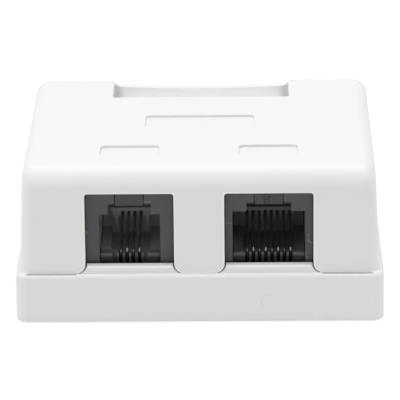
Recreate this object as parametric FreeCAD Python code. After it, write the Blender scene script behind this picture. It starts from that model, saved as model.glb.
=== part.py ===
"""Two-port surface mount jack box.

A drafted cover clips over a shallow base tray. A six-position jack (left) and an
eight-position jack (right) each sit on a small circuit board with a terminal block behind.

Frame: millimetres, +Z up, origin at the middle of the base's underside.
The jacks face -Y, and +X is to the right of someone who looks into them.
"""
import FreeCAD, Part
import math
import os

V = FreeCAD.Vector

# Overlaps and tolerances of the modelling itself
OVERSHOOT = 1.0             # cutters past the face they cut
ROOT = 0.5                  # ribs and pegs into the wall that carries them
NEAR = 0.01                 # for finding edges by place

# Base tray
BASE_WIDTH = 60.2
BASE_DEPTH = 51.2
RIM_HEIGHT = 8.2
FLOOR_THICKNESS = 2.0
BASE_CORNER_R = 2.0
RIM_EDGE_R = 0.7
BASE_BOTTOM_R = 0.35
RIM_SEAT_SPARE = 0.25       # rim left inside the cover's wall

# Cover shell
TOTAL_HEIGHT = 26.4
LEDGE = 0.75                # rim that shows around the cover
COVER_WALL = 1.5
SIDE_DRAFT = 2.2            # degrees
END_DRAFT = 2.0             # degrees, front and rear
FRONT_TOP_R = 4.0
REAR_TOP_R = 2.6
SIDE_EDGE_R = 2.3

# Jack windows and the base pads that close their lower ends
PORT_SPACING = 22.7
WINDOW_WIDTH = 14.5
TOP_BAND = 4.65             # cover above the windows
WINDOW_TOP_R = 0.5
WINDOW_FOOT_R = 1.6
PAD_HEIGHT = 1.2
PAD_THICKNESS = 1.65
PAD_GAP = 0.17
PAD_EDGE_R = 0.5

# Shallow label recesses in the top, measured back from the top's front edge
RECESS_DEPTH = 0.4
RECESS_CORNER_R = 0.8
LONG_RECESS_WIDTH = 18.3
LONG_RECESS_LENGTH = 6.0
LONG_RECESS_BACK = 26.6
SHORT_RECESS_WIDTH = 9.65
SHORT_RECESS_LENGTH = 5.0
SHORT_RECESS_BACK = 10.7

# Finger slot across the rear of the top, and the scoop in the wall behind it
SLOT_WIDTH = 30.2
SLOT_LENGTH = 10.1
SLOT_DEPTH = 3.3
SLOT_CORNER_R = 0.6
SLOT_WALL = 1.2
REAR_LIP = 1.65             # wall left behind the slot
SCOOP_END_DEPTH = 1.3
SCOOP_MID_DEPTH = 1.65
SCOOP_RAMP_IN = 1.2         # curved ramps, inside the slot's ends
SCOOP_RAMP_OUT = 1.3        # and outside them
SCOOP_LEAD = 2.0            # scoop's start in front of the rear wall

# Jack modules
JACK_FACE_GAP = 0.1         # between the cover's inner face and the jacks
HOUSING_WIDTH = 15.2
HOUSING_DEPTH = 15.6
HOUSING_TOP_GAP = 0.8       # housing top above the windows' top
HOUSING_EDGE_R = 0.3
SILL_THICKNESS = 0.9
SILL_HEIGHT = 3.3           # front sill above the board
CAVITY_FLOOR = 10.7
NOTCH_CHAMFER = 0.35
TONGUE_WIDTH = 4.55
TONGUE_GAP = 0.16
TONGUE_TOP_GAP = 0.1
CARRIER_GAP = 0.1
CARRIER_BACK_THICKNESS = 1.8
CARRIER_FLOOR_THICKNESS = 1.0
TROUGH_DEPTH = 1.1
NOSE_SETBACK = 0.35
NOSE_DEPTH = 2.5
NOSE_LIP = 0.45             # upright front of the nose bar, above its undercut
NOSE_UNDERCUT = 0.95
GROOVE_WIDTH = 0.62
GROOVE_CLEARANCE = 0.2      # groove behind the wire
TROUGH_SPARE = 0.2
MARK_R = 0.48               # moulding mark on the tongue
MARK_DROP = 1.15            # below the windows' top
MARK_SHIFT = 0.33
MARK_CHANNEL = 0.7
MARK_DEPTH = 0.12
COMB_DEPTH = 2.1
COMB_TOP = 14.7
COMB_SLOT_TOP = 14.1
COMB_LONG_TOOTH = 12.5
COMB_SHORT_TOOTH = 13.2
COMB_BLIND_TOOTH = 11.3     # posts that close the positions without a wire
COMB_SLOT_WIDTH = 0.58
CONTACT_PITCH = 1.016
WIRE_R = 0.21
WIRE_GAP = 0.05
WIRE_SETBACK = 1.25         # upright run of the wires behind the jack face
WIRE_BEND_R = 0.7
WIRE_FOOT_R = 0.55
WIRE_STAGGER = 0.28
WIRE_FOOT_Z = 6.6
WIRE_TAIL_BACK = 4.6        # first row of solder tails behind the jack face
WIRE_TAIL_ROW = 2.54
TAIL_PROUD = 0.7            # tails below the board
PEG_BACK = 9.6              # locating pegs behind the jack face
PEG_INSET = 0.1             # pegs narrower than the socket's side walls
FIT_GAP = 0.05

# Circuit boards
BOARD_THICKNESS = 1.6
BOARD_WIDTH = 17.0
BOARD_FRONT_SETBACK = 0.8
BOARD_TAIL_LENGTH = 1.2     # board left behind the terminal block
BOARD_CORNER_R = 0.8
TAIL_HOLE_R = 0.45

# Terminal blocks and contacts
BLOCK_GAP = 1.2             # behind the jack housing
BLOCK_BASE_HEIGHT = 2.8
BLOCK_BASE_WIDTH = 14.9
TOWER_HEIGHT = 9.0          # above the board
TOWER_WALL = 3.0
TOWER_INSET = 2.8           # half the trough between the two walls
TERMINAL_PITCH = 2.9
TERMINAL_MARGIN = 0.8
CONDUCTOR_SLOT = 0.95
CONDUCTOR_REST = 0.8        # slot's bottom above the block's base
TOWER_POINT = 0.8
BLADE_WIDTH = 2.0
BLADE_THICKNESS = 0.4
BLADE_TOP = 7.2             # above the board
BLADE_SLIT = 0.36
BLADE_SLIT_DEPTH = 4.2
BLADE_MOUTH = 1.0
BLADE_MOUTH_DEPTH = 0.7
BLADE_CORNER = 0.3
BLADE_TAIL_WIDTH = 0.6
BLADE_GAP = 0.08

# Stuffer caps
CAP_PLATE = 1.2
CAP_GAP = 0.3
CAP_SKIRT = 1.1
CAP_SKIRT_GAP = 0.2
CAP_WEB = 0.7
CAP_WEB_DEPTH = 1.6
CAP_NOTCH_WIDTH = 1.4
CAP_NOTCH_HEIGHT = 3.0
CAP_EDGE_R = 0.4

# Base details
BOARD_RAIL = 2.0            # boards above the floor
RAIL_WIDTH = 1.5
RAIL_SPREAD = 13.4
GUIDE_THICKNESS = 1.2
GUIDE_LENGTH = 7.0
GUIDE_RISE = 1.2            # guides above the board
BOARD_GAP = 0.15
BOARD_HOOK_WIDTH = 5.0
BOARD_HOOK_BITE = 0.7
BOARD_HOOK_BARB = 1.3
BARB_FLAT = 0.3             # upright face of the hooks' barbs
SCREW_SPACING = 47.0
SCREW_HOLE_R = 2.0
SCREW_BOSS_R = 3.3
SCREW_BOSS_RISE = 1.0
SNAP_THICKNESS = 1.0
SNAP_WIDTH = 6.0
SNAP_FLEX_GAP = 0.7
SNAP_BITE = 0.6
SNAP_HEIGHT = 2.8           # above the rim
SNAP_BARB = 1.2
SNAP_SPACING = 27.0
CATCH_RIB_WIDTH = 7.0
CATCH_RIB_PROUD = 0.7
CATCH_RIB_LOW = 0.4         # above the rim
CATCH_RIB_HIGH = 1.3
CATCH_RIB_RAMP = 0.3
LOCATOR_THICKNESS = 1.2
LOCATOR_LENGTH = 9.0
LOCATOR_RISE = 1.6
REAR_LOCATOR_SPACING = 36.0
CABLE_HOLE_WIDTH = 16.0
CABLE_HOLE_LENGTH = 8.4
CABLE_HOLE_BACK = 15.0
CABLE_HOLE_R = 2.0
CABLE_NOTCH_WIDTH = 9.0
CABLE_NOTCH_DEPTH = 5.0
CABLE_NOTCH_R = 3.0
ANCHOR_SPACING = 30.0
ANCHOR_BACK = 15.0
ANCHOR_LENGTH = 4.0
ANCHOR_WIDTH = 5.6
ANCHOR_THICKNESS = 1.3
ANCHOR_CLEAR = 2.0

# Ribs inside the cover that hold the jacks down
HOLD_RIB_THICKNESS = 1.0
HOLD_RIB_SETBACK = 2.0
HOLD_RIB_LENGTH = 11.0
HOLD_RIB_SPREAD = 9.0
HOLD_GAP = 0.3

# Each jack: side of the box, positions and contacts, cavity and notch widths, and how far their
# roofs lie below the windows' top
JACKS = {
    "six_position": {
        "side": -1,
        "positions": 6,
        "contacts": 4,
        "tooth_feet": (COMB_SHORT_TOOTH, COMB_SHORT_TOOTH),
        "tongue_mark": False,
        "cavity_width": 9.9,
        "cavity_drop": 4.05,
        "notch_width": 7.0,
        "notch_drop": 2.2,
    },
    "eight_position": {
        "side": 1,
        "positions": 8,
        "contacts": 8,
        "tooth_feet": (COMB_SHORT_TOOTH, COMB_LONG_TOOTH),
        "tongue_mark": True,
        "cavity_width": 11.84,
        "cavity_drop": 3.65,
        "notch_width": 7.26,
        "notch_drop": 2.1,
    },
}

# Worked out from the sizes above
BASE_FRONT = -BASE_DEPTH / 2
RIM_WALL = LEDGE + COVER_WALL + RIM_SEAT_SPARE
COVER_HEIGHT = TOTAL_HEIGHT - RIM_HEIGHT
COVER_WIDTH = BASE_WIDTH - 2 * LEDGE
COVER_DEPTH = BASE_DEPTH - 2 * LEDGE
SIDE_SLOPE = math.tan(math.radians(SIDE_DRAFT))
END_SLOPE = math.tan(math.radians(END_DRAFT))
TOP_FRONT = -COVER_DEPTH / 2 + COVER_HEIGHT * END_SLOPE
TOP_REAR = -TOP_FRONT
CEILING = TOTAL_HEIGHT - COVER_WALL
WINDOW_TOP = TOTAL_HEIGHT - TOP_BAND
BOARD_UNDER = FLOOR_THICKNESS + BOARD_RAIL
BOARD_TOP = BOARD_UNDER + BOARD_THICKNESS
HOUSING_TOP = WINDOW_TOP + HOUSING_TOP_GAP
JACK_FACE = (-COVER_DEPTH / 2 + (HOUSING_TOP - RIM_HEIGHT) * END_SLOPE
             + COVER_WALL + JACK_FACE_GAP)
HOUSING_REAR = JACK_FACE + HOUSING_DEPTH
BOARD_FRONT = JACK_FACE + BOARD_FRONT_SETBACK
BLOCK_FRONT = HOUSING_REAR + BLOCK_GAP


def box(x0, x1, y0, y1, z0, z1):
    """Block between two corners."""
    return Part.makeBox(x1 - x0, y1 - y0, z1 - z0, V(x0, y0, z0))


def edges_along(shape, axis, keep=None):
    """Straight edges parallel to an axis, those that keep(middle) accepts."""
    found = []
    for edge in shape.Edges:
        if len(edge.Vertexes) != 2:
            continue
        run = edge.Vertexes[1].Point - edge.Vertexes[0].Point
        if run.Length < 1e-6 or abs(run.normalize().dot(axis)) < 0.999:
            continue
        middle = edge.valueAt((edge.FirstParameter + edge.LastParameter) / 2)
        if keep is None or keep(middle):
            found.append(edge)
    return found


def rounded_block(width, depth, radius, z0, z1, x=0, y=0):
    """Upright block centred on x, y with rounded vertical corners."""
    block = box(x - width / 2, x + width / 2, y - depth / 2, y + depth / 2, z0, z1)
    return block.makeFillet(radius, edges_along(block, V(0, 0, 1)))


def prism_xz(points, y0, y1):
    """Extrude an x, z outline along Y."""
    corners = [V(x, y0, z) for x, z in points]
    face = Part.Face(Part.makePolygon(corners + corners[:1]))
    return face.extrude(V(0, y1 - y0, 0))


def prism_yz(points, x0, x1):
    """Extrude a y, z outline along X."""
    corners = [V(x0, y, z) for y, z in points]
    face = Part.Face(Part.makePolygon(corners + corners[:1]))
    return face.extrude(V(x1 - x0, 0, 0))


def rod(radius, start, length, axis):
    """Cylinder from a start point along an axis."""
    return Part.makeCylinder(radius, length, start, axis)


def one_solid(shape):
    """Merge coplanar faces and return the single solid."""
    clean = shape.removeSplitter()
    if len(clean.Solids) != 1:
        raise ValueError("expected one solid, found %d" % len(clean.Solids))
    return clean.Solids[0]


def drafted_block(inset):
    """Cover's outer form, or the same form set in by a wall, standing on the rim plane."""
    def outline(z):
        rise = z - RIM_HEIGHT
        half_x = COVER_WIDTH / 2 - inset - rise * SIDE_SLOPE
        half_y = COVER_DEPTH / 2 - inset - rise * END_SLOPE
        corners = [V(-half_x, -half_y, z), V(half_x, -half_y, z),
                   V(half_x, half_y, z), V(-half_x, half_y, z)]
        return Part.makePolygon(corners + corners[:1])

    top = TOTAL_HEIGHT - inset
    block = Part.makeLoft([outline(RIM_HEIGHT), outline(top)], True, True)

    def top_edge(front):
        return lambda p: abs(p.z - top) < NEAR and (p.y < 0) == front

    block = block.makeFillet(FRONT_TOP_R - inset, edges_along(block, V(1, 0, 0), top_edge(True)))
    block = block.makeFillet(REAR_TOP_R - inset, edges_along(block, V(1, 0, 0), top_edge(False)))
    side_edges = []
    for face in block.Faces:
        if abs(face.normalAt(0, 0).x) > 0.9:
            side_edges += [e for e in face.Edges if e.BoundBox.ZMax > RIM_HEIGHT + NEAR]
    return block.makeFillet(SIDE_EDGE_R - inset, side_edges)


def port_x(jack):
    """Middle of a jack's window."""
    return jack["side"] * PORT_SPACING / 2


def window_form(x, inset, rear):
    """A window's shape, set in by a gap: rounded top corners, and feet that flare out to the rim."""
    half = WINDOW_WIDTH / 2
    form = box(x - half + inset, x + half - inset, BASE_FRONT, rear,
               RIM_HEIGHT - OVERSHOOT, WINDOW_TOP - inset)
    form = form.makeFillet(WINDOW_TOP_R, edges_along(form, V(0, 1, 0), lambda p: p.z > RIM_HEIGHT))
    for side in (-1, 1):
        leg_x = x + side * (half + WINDOW_FOOT_R)
        leg_z = RIM_HEIGHT + WINDOW_FOOT_R
        low, high = sorted((x + side * (half - inset), leg_x))
        foot = box(low, high, BASE_FRONT, rear, RIM_HEIGHT - OVERSHOOT, leg_z)
        leg = rod(WINDOW_FOOT_R + inset, V(leg_x, BASE_FRONT, leg_z), rear - BASE_FRONT, V(0, 1, 0))
        form = form.fuse(foot.cut(leg))
    return form


def pad(x):
    """Raised pad on the front rim that fills the foot of a window."""
    top = RIM_HEIGHT + PAD_HEIGHT
    rear = BASE_FRONT + LEDGE + PAD_THICKNESS
    reach = WINDOW_WIDTH / 2 + WINDOW_FOOT_R
    block = window_form(x, PAD_GAP, rear)
    block = block.common(box(x - reach, x + reach, BASE_FRONT, rear, RIM_HEIGHT, top))
    block = block.common(drafted_block(0))
    front_edge = edges_along(block, V(1, 0, 0),
                             lambda p: p.z > top - NEAR and p.y < rear - PAD_THICKNESS / 2)
    return block.makeFillet(PAD_EDGE_R, front_edge)


def snap_hook(side, y):
    """Upright hook just inside a side rim, its barb pointing outwards."""
    outer = BASE_WIDTH / 2 - RIM_WALL - SNAP_FLEX_GAP
    inner = outer - SNAP_THICKNESS
    top = RIM_HEIGHT + SNAP_HEIGHT
    outline = [(inner, FLOOR_THICKNESS), (outer, FLOOR_THICKNESS), (outer, top - SNAP_BARB),
               (outer + SNAP_BITE, top - SNAP_BARB), (outer + SNAP_BITE, top - SNAP_BARB + BARB_FLAT),
               (outer, top), (inner, top)]
    points = [(side * px, pz) for px, pz in outline]
    return prism_xz(points, y - SNAP_WIDTH / 2, y + SNAP_WIDTH / 2)


def locators():
    """Ribs inside the rim that stand up and centre the cover."""
    ribs = []
    inner_x = BASE_WIDTH / 2 - RIM_WALL
    inner_y = BASE_DEPTH / 2 - RIM_WALL
    top = RIM_HEIGHT + LOCATOR_RISE
    for side in (-1, 1):
        outer, inner = side * inner_x, side * (inner_x - LOCATOR_THICKNESS)
        ribs.append(box(min(outer, inner), max(outer, inner),
                        -LOCATOR_LENGTH / 2, LOCATOR_LENGTH / 2, FLOOR_THICKNESS, top))
        x = side * REAR_LOCATOR_SPACING / 2
        ribs.append(box(x - LOCATOR_LENGTH / 2, x + LOCATOR_LENGTH / 2,
                        inner_y - LOCATOR_THICKNESS, inner_y, FLOOR_THICKNESS, top))
    return ribs


def board_rear(jack):
    """Rear edge of a jack's circuit board."""
    return BLOCK_FRONT + block_length(jack) + BOARD_TAIL_LENGTH


def cradle(jack):
    """Rails, guides, front stops and a rear hook that carry one circuit board."""
    x = port_x(jack)
    rear = board_rear(jack)
    front_wall = BASE_FRONT + RIM_WALL
    pieces = []
    for side in (-1, 1):
        rail_x = x + side * RAIL_SPREAD / 2
        pieces.append(box(rail_x - RAIL_WIDTH / 2, rail_x + RAIL_WIDTH / 2,
                          front_wall, rear, FLOOR_THICKNESS, BOARD_UNDER))
        pieces.append(box(rail_x - RAIL_WIDTH / 2, rail_x + RAIL_WIDTH / 2,
                          front_wall, BOARD_FRONT - BOARD_GAP, BOARD_UNDER, BOARD_TOP))
        near = x + side * (BOARD_WIDTH / 2 + BOARD_GAP)
        far = near + side * GUIDE_THICKNESS
        for y in (BOARD_FRONT + GUIDE_LENGTH, rear - GUIDE_LENGTH):
            pieces.append(box(min(near, far), max(near, far), y - GUIDE_LENGTH / 2,
                              y + GUIDE_LENGTH / 2, FLOOR_THICKNESS, BOARD_TOP + GUIDE_RISE))
    stem = rear + BOARD_GAP
    barb = BOARD_TOP + FIT_GAP
    hook = [(stem, FLOOR_THICKNESS), (stem + GUIDE_THICKNESS, FLOOR_THICKNESS),
            (stem + GUIDE_THICKNESS, barb + BOARD_HOOK_BARB), (stem, barb + BOARD_HOOK_BARB),
            (stem - BOARD_HOOK_BITE, barb + BARB_FLAT), (stem - BOARD_HOOK_BITE, barb), (stem, barb)]
    pieces.append(prism_yz(hook, x - BOARD_HOOK_WIDTH / 2, x + BOARD_HOOK_WIDTH / 2))
    return pieces


def tie_anchor(x):
    """Small bridge on the floor for a cable tie."""
    height = FLOOR_THICKNESS + ANCHOR_CLEAR
    bridge = box(x - ANCHOR_WIDTH / 2, x + ANCHOR_WIDTH / 2, ANCHOR_BACK - ANCHOR_LENGTH / 2,
                 ANCHOR_BACK + ANCHOR_LENGTH / 2, FLOOR_THICKNESS, height + ANCHOR_THICKNESS)
    inside = ANCHOR_WIDTH / 2 - ANCHOR_THICKNESS
    return bridge.cut(box(x - inside, x + inside, ANCHOR_BACK - ANCHOR_LENGTH,
                          ANCHOR_BACK + ANCHOR_LENGTH, FLOOR_THICKNESS, height))


def make_base():
    """Tray with pads, cradles, screw bosses, snap hooks and cable entries in one moulding."""
    tray = rounded_block(BASE_WIDTH, BASE_DEPTH, BASE_CORNER_R, 0, RIM_HEIGHT)
    top_edges = [e for e in tray.Edges if e.BoundBox.ZMin > RIM_HEIGHT - NEAR]
    tray = tray.makeFillet(RIM_EDGE_R, top_edges)
    bottom_edges = [e for e in tray.Edges if e.BoundBox.ZMax < NEAR]
    tray = tray.makeFillet(BASE_BOTTOM_R, bottom_edges)
    tray = tray.cut(rounded_block(BASE_WIDTH - 2 * RIM_WALL, BASE_DEPTH - 2 * RIM_WALL,
                                  BASE_CORNER_R, FLOOR_THICKNESS, RIM_HEIGHT + OVERSHOOT))
    added = locators()
    for jack in JACKS.values():
        added.append(pad(port_x(jack)))
        added += cradle(jack)
    for side in (-1, 1):
        boss_x = side * SCREW_SPACING / 2
        added.append(rod(SCREW_BOSS_R, V(boss_x, 0, 0), FLOOR_THICKNESS + SCREW_BOSS_RISE,
                         V(0, 0, 1)))
        added.append(tie_anchor(side * ANCHOR_SPACING / 2))
        for y in (-SNAP_SPACING / 2, SNAP_SPACING / 2):
            added.append(snap_hook(side, y))
    tray = tray.fuse(added)
    for side in (-1, 1):
        tray = tray.cut(rod(SCREW_HOLE_R, V(side * SCREW_SPACING / 2, 0, -OVERSHOOT), RIM_HEIGHT,
                            V(0, 0, 1)))
    tray = tray.cut(rounded_block(CABLE_HOLE_WIDTH, CABLE_HOLE_LENGTH, CABLE_HOLE_R,
                                  -OVERSHOOT, FLOOR_THICKNESS + OVERSHOOT, 0, CABLE_HOLE_BACK))
    notch = box(-CABLE_NOTCH_WIDTH / 2, CABLE_NOTCH_WIDTH / 2,
                BASE_DEPTH / 2 - RIM_WALL - OVERSHOOT, BASE_DEPTH / 2 + OVERSHOOT,
                RIM_HEIGHT - CABLE_NOTCH_DEPTH, RIM_HEIGHT + OVERSHOOT)
    low_edges = edges_along(notch, V(0, 1, 0), lambda p: p.z < RIM_HEIGHT)
    return one_solid(tray.cut(notch.makeFillet(CABLE_NOTCH_R, low_edges)))


def recess(width, length, back, x):
    """Cutter for a shallow label recess with rounded corners."""
    return rounded_block(width, length, RECESS_CORNER_R, TOTAL_HEIGHT - RECESS_DEPTH,
                         TOTAL_HEIGHT + OVERSHOOT, x, TOP_FRONT + back - length / 2)


def rear_scoop():
    """Cutter that lowers the rear wall's top edge, with an S-shaped ramp at each end."""
    half = SLOT_WIDTH / 2 - SCOOP_RAMP_IN
    reach = SLOT_WIDTH / 2 + SCOOP_RAMP_OUT
    ends = TOTAL_HEIGHT - SCOOP_END_DEPTH
    above = TOTAL_HEIGHT + OVERSHOOT
    y = TOP_REAR - REAR_LIP - SCOOP_LEAD
    edges = [Part.Arc(V(-half, y, ends), V(0, y, TOTAL_HEIGHT - SCOOP_MID_DEPTH),
                      V(half, y, ends)).toShape()]
    for side in (-1, 1):
        ramp = Part.BezierCurve()
        ramp.setPoles([V(side * half, y, ends), V(side * SLOT_WIDTH / 2, y, ends),
                       V(side * SLOT_WIDTH / 2, y, TOTAL_HEIGHT), V(side * reach, y, TOTAL_HEIGHT)])
        edges.append(ramp.toShape())
    edges += Part.makePolygon([V(reach, y, TOTAL_HEIGHT), V(reach, y, above),
                               V(-reach, y, above), V(-reach, y, TOTAL_HEIGHT)]).Edges
    outline = Part.Wire(Part.sortEdges(edges)[0])
    return Part.Face(outline).extrude(V(0, COVER_DEPTH, 0))


def catch_rib(side, y):
    """Rib inside a side wall that the snap hook grips."""
    wall = COVER_WIDTH / 2 - COVER_WALL
    low, high = RIM_HEIGHT + CATCH_RIB_LOW, RIM_HEIGHT + CATCH_RIB_HIGH
    outline = [(wall + ROOT, low), (wall - CATCH_RIB_PROUD, low + CATCH_RIB_RAMP),
               (wall - CATCH_RIB_PROUD, high), (wall + ROOT, high)]
    points = [(side * px, pz) for px, pz in outline]
    return prism_xz(points, y - CATCH_RIB_WIDTH / 2, y + CATCH_RIB_WIDTH / 2)


def make_cover():
    """Drafted shell with windows, label recesses, rear finger slot and inner ribs."""
    shell = drafted_block(0).cut(drafted_block(COVER_WALL))
    slot_rear = TOP_REAR - REAR_LIP
    slot_front = slot_rear - SLOT_LENGTH
    slot_floor = TOTAL_HEIGHT - SLOT_DEPTH
    reach = SLOT_WIDTH / 2 + SLOT_WALL
    added = [box(-reach, reach, slot_front - SLOT_WALL, slot_rear + REAR_LIP / 2,
                 slot_floor - SLOT_WALL, CEILING + ROOT)]
    for side in (-1, 1):
        for y in (-SNAP_SPACING / 2, SNAP_SPACING / 2):
            added.append(catch_rib(side, y))
    rib_front = JACK_FACE + HOLD_RIB_SETBACK
    for jack in JACKS.values():
        for side in (-1, 1):
            x = port_x(jack) + side * HOLD_RIB_SPREAD / 2
            added.append(box(x - HOLD_RIB_THICKNESS / 2, x + HOLD_RIB_THICKNESS / 2,
                             rib_front, rib_front + HOLD_RIB_LENGTH,
                             HOUSING_TOP + HOLD_GAP, CEILING + ROOT))
    shell = shell.fuse(added)
    cutters = [window_form(port_x(jack), 0, JACK_FACE + OVERSHOOT) for jack in JACKS.values()]
    cutters.append(recess(LONG_RECESS_WIDTH, LONG_RECESS_LENGTH, LONG_RECESS_BACK, 0))
    for jack in JACKS.values():
        cutters.append(recess(SHORT_RECESS_WIDTH, SHORT_RECESS_LENGTH, SHORT_RECESS_BACK,
                              port_x(jack)))
    cutters.append(rounded_block(SLOT_WIDTH, SLOT_LENGTH, SLOT_CORNER_R, slot_floor,
                                 TOTAL_HEIGHT + OVERSHOOT, 0, (slot_front + slot_rear) / 2))
    cutters.append(rear_scoop())
    for cutter in cutters:
        shell = shell.cut(cutter)
    return one_solid(shell)


def cavity_top(jack):
    """Roof of a jack's plug cavity."""
    return WINDOW_TOP - jack["cavity_drop"]


def notch_top(jack):
    """Roof of the latch notch above a jack's cavity."""
    return WINDOW_TOP - jack["notch_drop"]


def pegs(jack):
    """Place and radius of the locating pegs under a housing's side walls."""
    wall = (HOUSING_WIDTH - jack["cavity_width"]) / 2
    spread = HOUSING_WIDTH / 2 - wall / 2
    return [(port_x(jack) + side * spread, JACK_FACE + PEG_BACK, wall / 2 - PEG_INSET)
            for side in (-1, 1)]


def make_jack_housing(jack):
    """Socket shell, open at the rear and below, with latch notch and tongue slot."""
    x = port_x(jack)
    half = HOUSING_WIDTH / 2
    cavity = jack["cavity_width"] / 2
    notch = jack["notch_width"] / 2
    shell = box(x - half, x + half, JACK_FACE, HOUSING_REAR, BOARD_TOP, HOUSING_TOP)
    shell = shell.makeFillet(HOUSING_EDGE_R, edges_along(shell, V(0, 0, 1)))
    sill = BOARD_TOP + SILL_HEIGHT
    inner = JACK_FACE + SILL_THICKNESS
    ceiling = cavity_top(jack)
    roof = notch_top(jack)
    shell = shell.cut(box(x - cavity, x + cavity, inner, HOUSING_REAR + OVERSHOOT,
                          BOARD_TOP - OVERSHOOT, ceiling))
    shell = shell.cut(box(x - cavity, x + cavity, JACK_FACE - OVERSHOOT, inner, sill, ceiling))
    front, rear = JACK_FACE - OVERSHOOT, HOUSING_REAR + OVERSHOOT
    profile = [(front, ceiling - ROOT), (rear, ceiling - ROOT), (rear, roof - NOTCH_CHAMFER),
               (JACK_FACE + NOTCH_CHAMFER, roof - NOTCH_CHAMFER), (JACK_FACE, roof), (front, roof)]
    shell = shell.cut(prism_yz(profile, x - notch, x + notch))
    slot = TONGUE_WIDTH / 2 + TONGUE_GAP
    shell = shell.cut(box(x - slot, x + slot, front, rear, ceiling, HOUSING_TOP + OVERSHOOT))
    for peg_x, peg_y, peg_r in pegs(jack):
        shell = shell.fuse(rod(peg_r, V(peg_x, peg_y, BOARD_UNDER), BOARD_THICKNESS + ROOT,
                               V(0, 0, 1)))
    return one_solid(shell)


def offsets(count):
    """Sideways places of that many contact positions, from the jack's middle."""
    return [(i - (count - 1) / 2) * CONTACT_PITCH for i in range(count)]


def nose_top():
    """Top of the nose bar that the contact wires bend over."""
    return CAVITY_FLOOR - FIT_GAP


def make_contact_carrier(jack):
    """C-shaped insert: grooved nose bar and floor, rear wall with comb, and locking tongue."""
    x = port_x(jack)
    half = jack["cavity_width"] / 2 - CARRIER_GAP
    back = HOUSING_REAR - CARRIER_BACK_THICKNESS
    nose = JACK_FACE + NOSE_SETBACK
    top = nose_top()
    trough_floor = CAVITY_FLOOR - TROUGH_DEPTH
    under = trough_floor - CARRIER_FLOOR_THICKNESS
    side_view = [(nose, top), (nose, top - NOSE_LIP), (nose + NOSE_UNDERCUT, under),
                 (HOUSING_REAR, under), (HOUSING_REAR, top)]
    carrier = prism_yz(side_view, x - half, x + half)
    trough = jack["positions"] * CONTACT_PITCH / 2 + TROUGH_SPARE
    carrier = carrier.cut(box(x - trough, x + trough, nose + NOSE_DEPTH, back,
                              trough_floor, top + OVERSHOOT))
    groove_rear = JACK_FACE + WIRE_SETBACK + WIRE_R + GROOVE_CLEARANCE
    for offset in offsets(jack["positions"]):
        groove_x = x + offset
        carrier = carrier.cut(box(groove_x - GROOVE_WIDTH / 2, groove_x + GROOVE_WIDTH / 2,
                                  nose - OVERSHOOT, groove_rear, under - OVERSHOOT,
                                  top + OVERSHOOT))
    tongue_bottom = notch_top(jack) - NOTCH_CHAMFER
    carrier = carrier.fuse([
        box(x - half, x + half, back, HOUSING_REAR, BOARD_TOP + FIT_GAP,
            cavity_top(jack) - CARRIER_GAP),
        box(x - TONGUE_WIDTH / 2, x + TONGUE_WIDTH / 2, back, HOUSING_REAR,
            under, tongue_bottom + ROOT),
        box(x - TONGUE_WIDTH / 2, x + TONGUE_WIDTH / 2, JACK_FACE, HOUSING_REAR,
            tongue_bottom, HOUSING_TOP - TONGUE_TOP_GAP),
    ])
    carrier = carrier.fuse(comb(jack, back))
    if jack["tongue_mark"]:
        carrier = carrier.cut(tongue_mark(jack))
    return one_solid(carrier)


def comb(jack, back):
    """Shelf on the rear wall, teeth beside the wires, and posts at positions without a wire."""
    x = port_x(jack)
    places = offsets(jack["positions"])
    front = back - COMB_DEPTH
    reach = places[-1] + CONTACT_PITCH
    pieces = [box(x - reach, x + reach, front, back, COMB_SLOT_TOP, COMB_TOP)]
    for i in range(len(places) + 1):
        tooth_x = x + places[0] + (i - 0.5) * CONTACT_PITCH
        half = (CONTACT_PITCH - COMB_SLOT_WIDTH) / 2
        pieces.append(box(tooth_x - half, tooth_x + half, front, back, jack["tooth_feet"][i % 2],
                          COMB_SLOT_TOP))
    for place in places:
        if abs(place) > offsets(jack["contacts"])[-1] + CONTACT_PITCH / 2:
            pieces.append(box(x + place - COMB_SLOT_WIDTH / 2, x + place + COMB_SLOT_WIDTH / 2,
                              front, back, COMB_BLIND_TOOTH, COMB_SLOT_TOP))
    return pieces[0].fuse(pieces[1:])


def tongue_mark(jack):
    """Cutter for the shallow round mark on the tongue's face, with its channel downwards."""
    x = port_x(jack) - MARK_SHIFT
    z = WINDOW_TOP - MARK_DROP
    dot = rod(MARK_R, V(x, JACK_FACE - OVERSHOOT, z), OVERSHOOT + MARK_DEPTH, V(0, 1, 0))
    channel = box(x - MARK_CHANNEL / 2, x + MARK_CHANNEL / 2, JACK_FACE - OVERSHOOT,
                  JACK_FACE + MARK_DEPTH, notch_top(jack) - NOTCH_CHAMFER - OVERSHOOT, z)
    return dot.fuse(channel)


def bent_wire(x, points, radii, radius):
    """Round wire along a y, z route of straight runs joined by tangent arcs."""
    route = [V(x, y, z) for y, z in points]
    edges = []
    start = route[0]
    for i in range(1, len(route) - 1):
        before = (route[i - 1] - route[i]).normalize()
        after = (route[i + 1] - route[i]).normalize()
        half_angle = before.getAngle(after) / 2
        setback = radii[i - 1] / math.tan(half_angle)
        arc_in = route[i] + before * setback
        arc_out = route[i] + after * setback
        towards = (before + after).normalize()
        centre = route[i] + towards * (radii[i - 1] / math.sin(half_angle))
        arc_mid = centre - towards * radii[i - 1]
        edges.append(Part.LineSegment(start, arc_in).toShape())
        edges.append(Part.Arc(arc_in, arc_mid, arc_out).toShape())
        start = arc_out
    edges.append(Part.LineSegment(start, route[-1]).toShape())
    path = Part.Wire(edges)
    section = Part.Wire(Part.makeCircle(radius, route[0], route[1] - route[0]))
    return path.makePipeShell([section], True, False)


def wire_tail(index):
    """Depth of a wire's solder tail: two staggered rows."""
    return JACK_FACE + WIRE_TAIL_BACK + (index % 2) * WIRE_TAIL_ROW


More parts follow.
